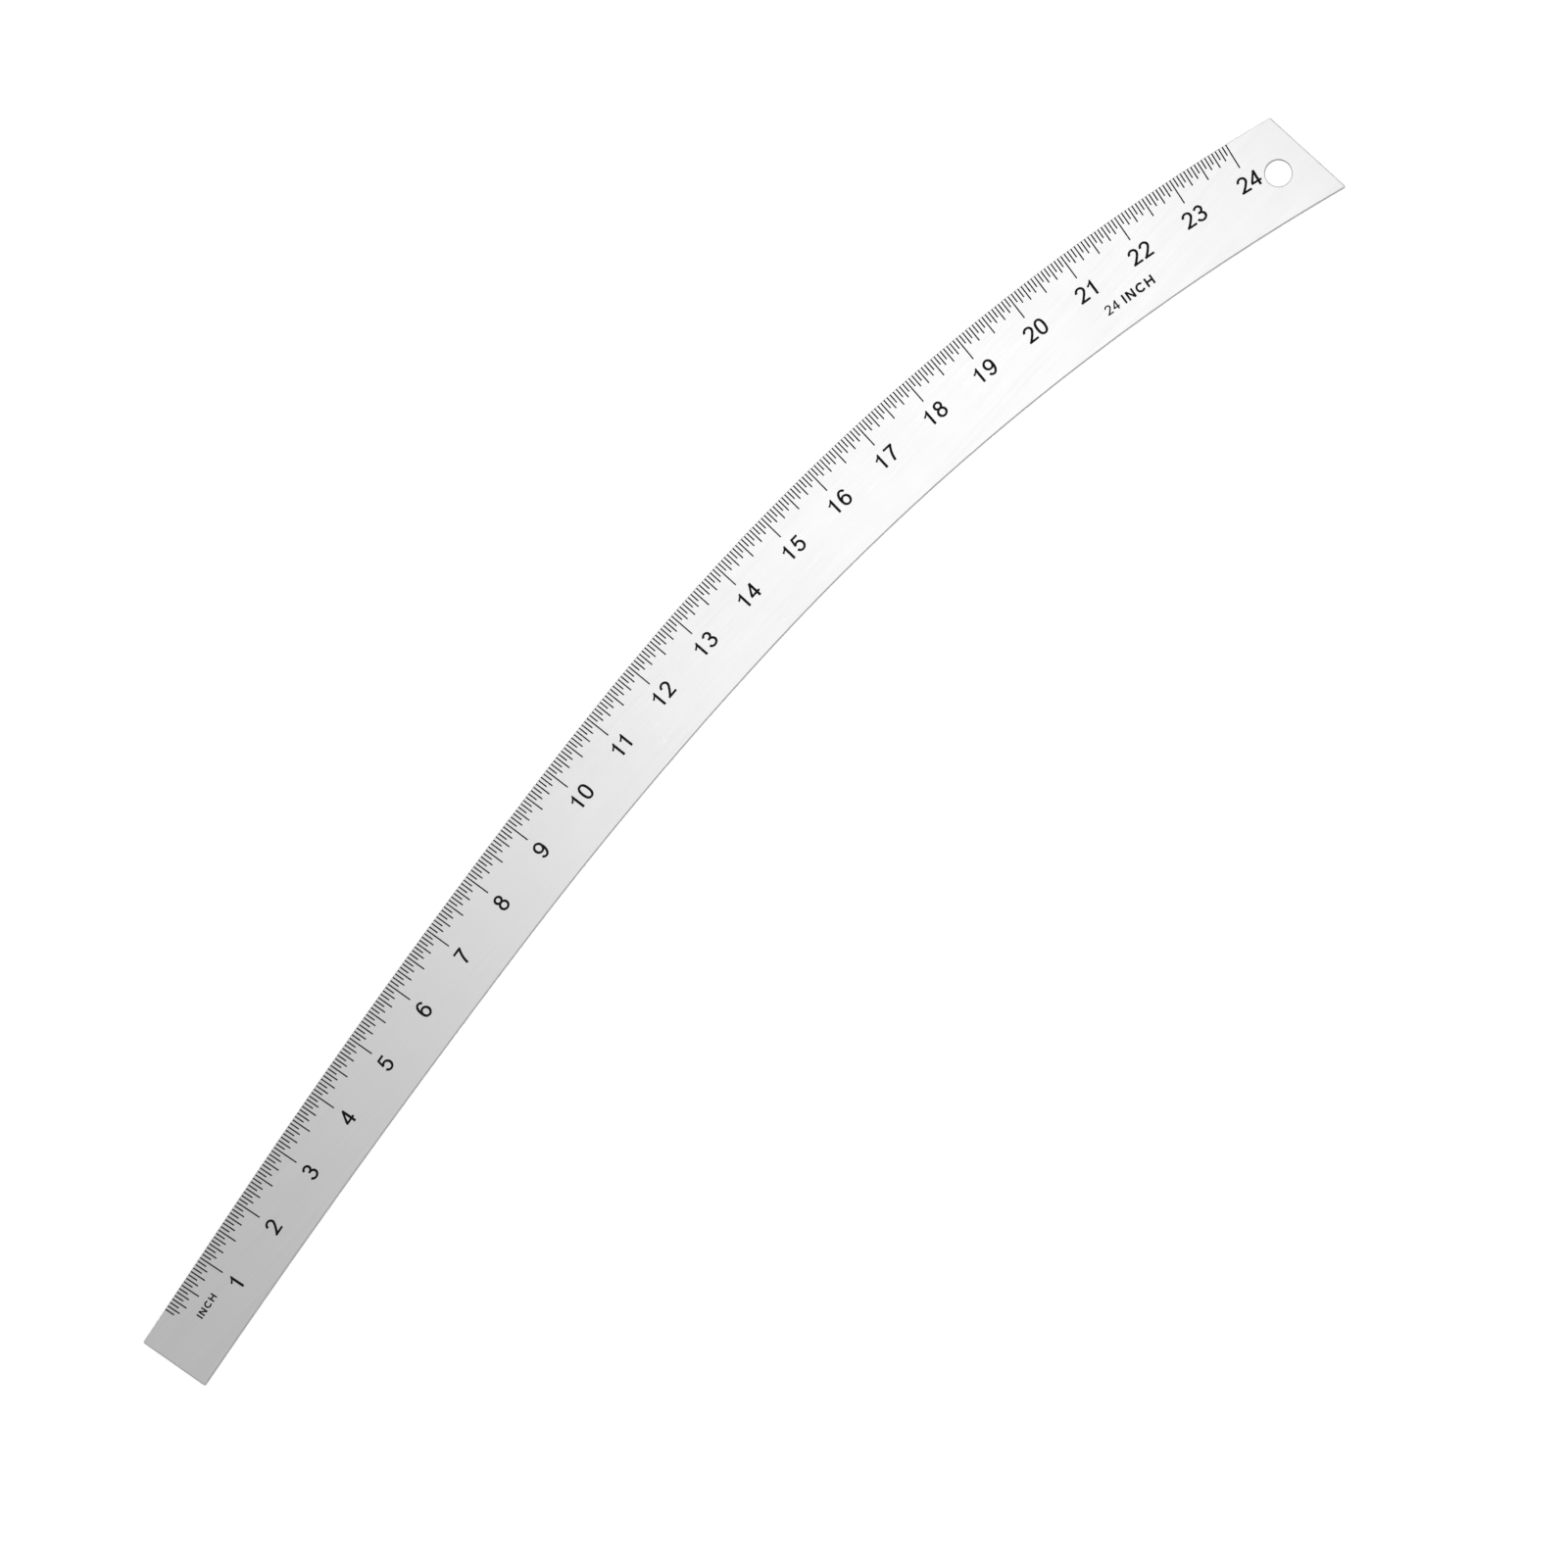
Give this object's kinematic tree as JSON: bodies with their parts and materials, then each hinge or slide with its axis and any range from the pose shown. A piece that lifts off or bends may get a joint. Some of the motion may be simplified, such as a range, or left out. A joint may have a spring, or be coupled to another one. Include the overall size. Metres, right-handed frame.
{
  "type": "curved steel ruler",
  "caption": "Flat, gently curved steel ruler with an inch scale printed along its convex edge and a hanging hole at the wide end.",
  "frame": {"origin": "centre of the bounding box's foot, on the blade's back face", "axes": "+X runs along the chord of the graduated edge from the narrow end to the wide end, +Y towards the convex graduated edge, +Z out of the printed face"},
  "size_m": [0.637, 0.0788, 0.0012],
  "materials": {
    "steel": "fine satin, bare steel",
    "ink": "matte printed ink"
  },
  "bodies": {
    "root": {"blade": "steel", "sixteenth_lines": "ink", "eighth_lines": "ink", "quarter_lines": "ink", "half_lines": "ink", "inch_lines": "ink", "unit_legend": "ink", "length_mark": "ink", "numeral_01": "ink", "numeral_02": "ink", "numeral_03": "ink", "numeral_04": "ink", "numeral_05": "ink", "numeral_06": "ink", "numeral_07": "ink", "numeral_08": "ink", "numeral_09": "ink", "numeral_10": "ink", "numeral_11": "ink", "numeral_12": "ink", "numeral_13": "ink", "numeral_14": "ink", "numeral_15": "ink", "numeral_16": "ink", "numeral_17": "ink", "numeral_18": "ink", "numeral_19": "ink", "numeral_20": "ink", "numeral_21": "ink", "numeral_22": "ink", "numeral_23": "ink", "numeral_24": "ink"}
  },
  "joints": []
}
